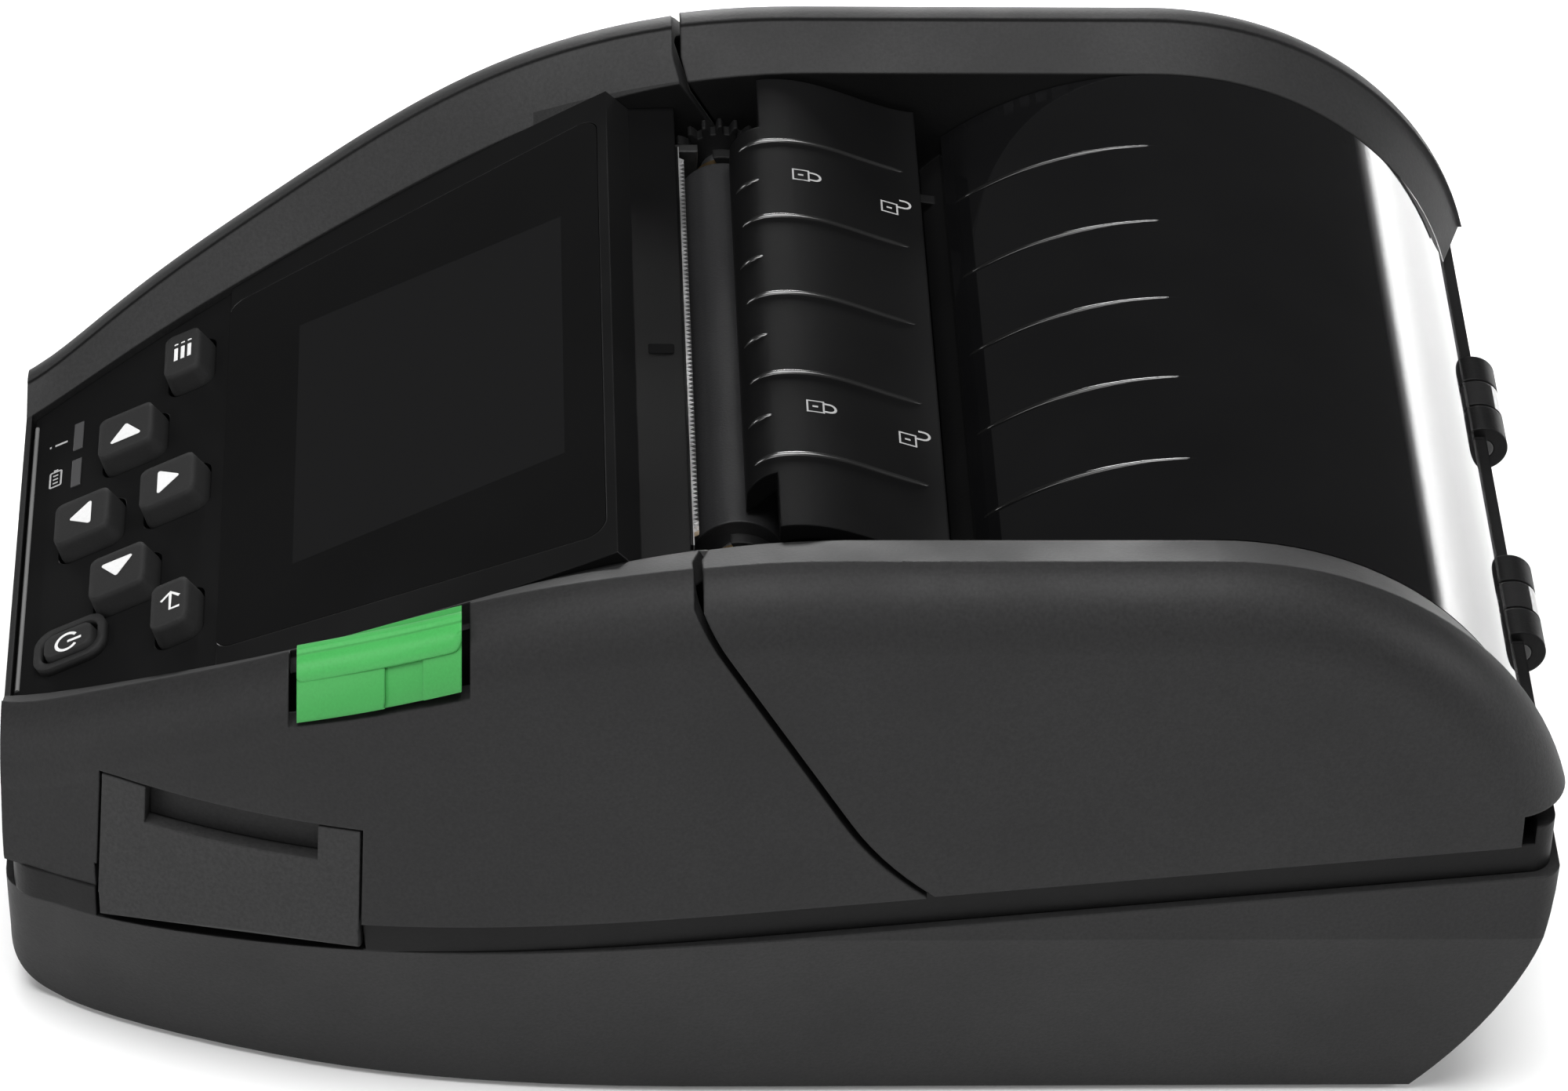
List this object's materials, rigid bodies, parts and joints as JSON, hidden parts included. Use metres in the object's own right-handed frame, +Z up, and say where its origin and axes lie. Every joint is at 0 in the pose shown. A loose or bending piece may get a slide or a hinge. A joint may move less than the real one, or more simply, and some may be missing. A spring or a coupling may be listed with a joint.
{
  "type": "portable label printer",
  "caption": "Portable label printer with a display and keys on its sloping front, a hinged lid with a tinted window, and the print works and media guides inside.",
  "frame": {"origin": "floor level under the middle of the footprint", "axes": "+Z up, keypad end at -Y, lid hinge at +Y, the user's right at +X"},
  "size_m": [0.103, 0.1538, 0.0675],
  "materials": {
    "casing_plastic": "fine grained matt",
    "dark_plastic": "matt",
    "black_gloss": "glossy",
    "key_rubber": "soft touch matt",
    "display_glass": "polished, dark tint",
    "lcd": "dark when off",
    "board": "solder mask",
    "led_lens": "diffuse lens, off",
    "latch_green": "satin",
    "hook_steel": "satin",
    "tear_steel": "bright edge",
    "heatsink": "mill finish",
    "head_ceramic": "glazed ceramic",
    "platen_rubber": "ground matt",
    "gear_plastic": "moulded",
    "bearing": "sintered",
    "window": "polished, dark tint",
    "motor_can": "zinc plated",
    "jack_plastic": "moulded",
    "battery_case": "matt",
    "foot_rubber": "matt"
  },
  "bodies": {
    "casing": {"base_tub": "casing_plastic", "mid_chassis": "dark_plastic", "front_housing": "casing_plastic", "keypad_panel": "black_gloss", "display_bezel": "black_gloss", "display_glass": "display_glass", "lcd_module": "lcd", "key_board": "board", "power_ring": "key_rubber", "status_leds": "led_lens", "door_pin_front": "hook_steel", "door_pin_rear": "hook_steel", "port_plate": "dark_plastic", "usb_port": "hook_steel", "dc_jack": "jack_plastic", "main_board": "board", "battery_pack": "battery_case", "battery_contacts": "battery_case", "battery_cover": "dark_plastic", "print_frame": "hook_steel", "print_head": "head_ceramic", "head_heatsink": "heatsink", "tear_bar": "tear_steel", "stepper_motor": "motor_can", "media_bay": "dark_plastic", "gap_sensor": "jack_plastic", "guide_carrier": "dark_plastic", "hinge_pin_left": "hook_steel", "hinge_pin_right": "hook_steel", "foot_left": "foot_rubber", "foot_right": "foot_rubber", "foot_front": "foot_rubber", "case_screw_1": "hook_steel", "case_screw_2": "hook_steel", "case_screw_3": "hook_steel", "case_screw_4": "hook_steel"},
    "lid": {"lid_frame": "casing_plastic", "lid_window": "window", "platen_bearing_left": "bearing", "platen_bearing_right": "bearing"},
    "flap": {"peel_flap": "dark_plastic"},
    "platen": {"platen_roller": "platen_rubber", "platen_shaft": "hook_steel", "platen_gear": "gear_plastic"},
    "idler": {"idler_gear": "gear_plastic"},
    "pinion": {"motor_pinion": "gear_plastic"},
    "guide_left_body": {"guide_left": "dark_plastic"},
    "guide_right_body": {"guide_right": "dark_plastic"},
    "guide_pinion_body": {"guide_pinion": "dark_plastic"},
    "latch": {"latch_button": "latch_green", "latch_hook": "hook_steel"},
    "door": {"port_door": "casing_plastic"},
    "key_menu_body": {"key_menu": "key_rubber"},
    "key_return_body": {"key_return": "key_rubber"},
    "key_up_body": {"key_up": "key_rubber"},
    "key_left_body": {"key_left": "key_rubber"},
    "key_right_body": {"key_right": "key_rubber"},
    "key_down_body": {"key_down": "key_rubber"},
    "key_power_body": {"key_power": "key_rubber"}
  },
  "joints": [
    {"name": "lid_hinge", "type": "hinge", "parent": "casing", "child": "lid", "pos_m": [0, 0.0742, 0.0375], "axis": [-1, 0, 0], "range_deg": [0, 95]},
    {"name": "platen_spin", "type": "hinge", "parent": "lid", "child": "platen", "pos_m": [0, -0.0046, 0.0554], "axis": [1, 0, 0], "continuous": true},
    {"name": "idler_spin", "type": "hinge", "parent": "casing", "child": "idler", "pos_m": [0, -0.01094, 0.04635], "axis": [1, 0, 0], "continuous": true},
    {"name": "pinion_spin", "type": "hinge", "parent": "casing", "child": "pinion", "pos_m": [0, -0.01734, 0.03995], "axis": [1, 0, 0], "continuous": true},
    {"name": "flap_pivot", "type": "hinge", "parent": "lid", "child": "flap", "pos_m": [0, 0.0095, 0.0576], "axis": [-1, 0, 0], "range_deg": [0, 12]},
    {"name": "guide_left_slide", "type": "slide", "parent": "casing", "child": "guide_left_body", "axis": [1, 0, 0], "range_m": [0, 0.015]},
    {"name": "guide_right_slide", "type": "slide", "parent": "casing", "child": "guide_right_body", "axis": [-1, 0, 0], "range_m": [0, 0.015]},
    {"name": "guide_pinion_spin", "type": "hinge", "parent": "casing", "child": "guide_pinion_body", "pos_m": [0, 0.006, 0.038], "axis": [0, 1, 0], "range_deg": [0, 180]},
    {"name": "latch_press", "type": "slide", "parent": "casing", "child": "latch", "axis": [-1, 0, 0], "range_m": [0, 0.0012], "stiffness_N_per_m": 1500},
    {"name": "door_hinge", "type": "hinge", "parent": "casing", "child": "door", "pos_m": [0.04248, -0.05389, 0.02251], "axis": [0.3007, 0.948, 0.1043], "range_deg": [0, 100]},
    {"name": "key_menu_press", "type": "slide", "parent": "casing", "child": "key_menu_body", "axis": [0, 0.4639, -0.8859], "range_m": [0, 0.0008], "stiffness_N_per_m": 800},
    {"name": "key_return_press", "type": "slide", "parent": "casing", "child": "key_return_body", "axis": [0, 0.4639, -0.8859], "range_m": [0, 0.0008], "stiffness_N_per_m": 800},
    {"name": "key_up_press", "type": "slide", "parent": "casing", "child": "key_up_body", "axis": [0, 0.4639, -0.8859], "range_m": [0, 0.0008], "stiffness_N_per_m": 800},
    {"name": "key_left_press", "type": "slide", "parent": "casing", "child": "key_left_body", "axis": [0, 0.4639, -0.8859], "range_m": [0, 0.0008], "stiffness_N_per_m": 800},
    {"name": "key_right_press", "type": "slide", "parent": "casing", "child": "key_right_body", "axis": [0, 0.4639, -0.8859], "range_m": [0, 0.0008], "stiffness_N_per_m": 800},
    {"name": "key_down_press", "type": "slide", "parent": "casing", "child": "key_down_body", "axis": [0, 0.4639, -0.8859], "range_m": [0, 0.0008], "stiffness_N_per_m": 800},
    {"name": "key_power_press", "type": "slide", "parent": "casing", "child": "key_power_body", "axis": [0, 0.4639, -0.8859], "range_m": [0, 0.0008], "stiffness_N_per_m": 800}
  ],
  "couplings": [
    {"joint": "idler_spin", "follows": "platen_spin", "ratio": -0.83333},
    {"joint": "pinion_spin", "follows": "platen_spin", "ratio": 1.6667},
    {"joint": "guide_right_slide", "follows": "guide_left_slide", "ratio": 1},
    {"joint": "guide_pinion_spin", "follows": "guide_left_slide", "rad_per_m": 208.33}
  ]
}
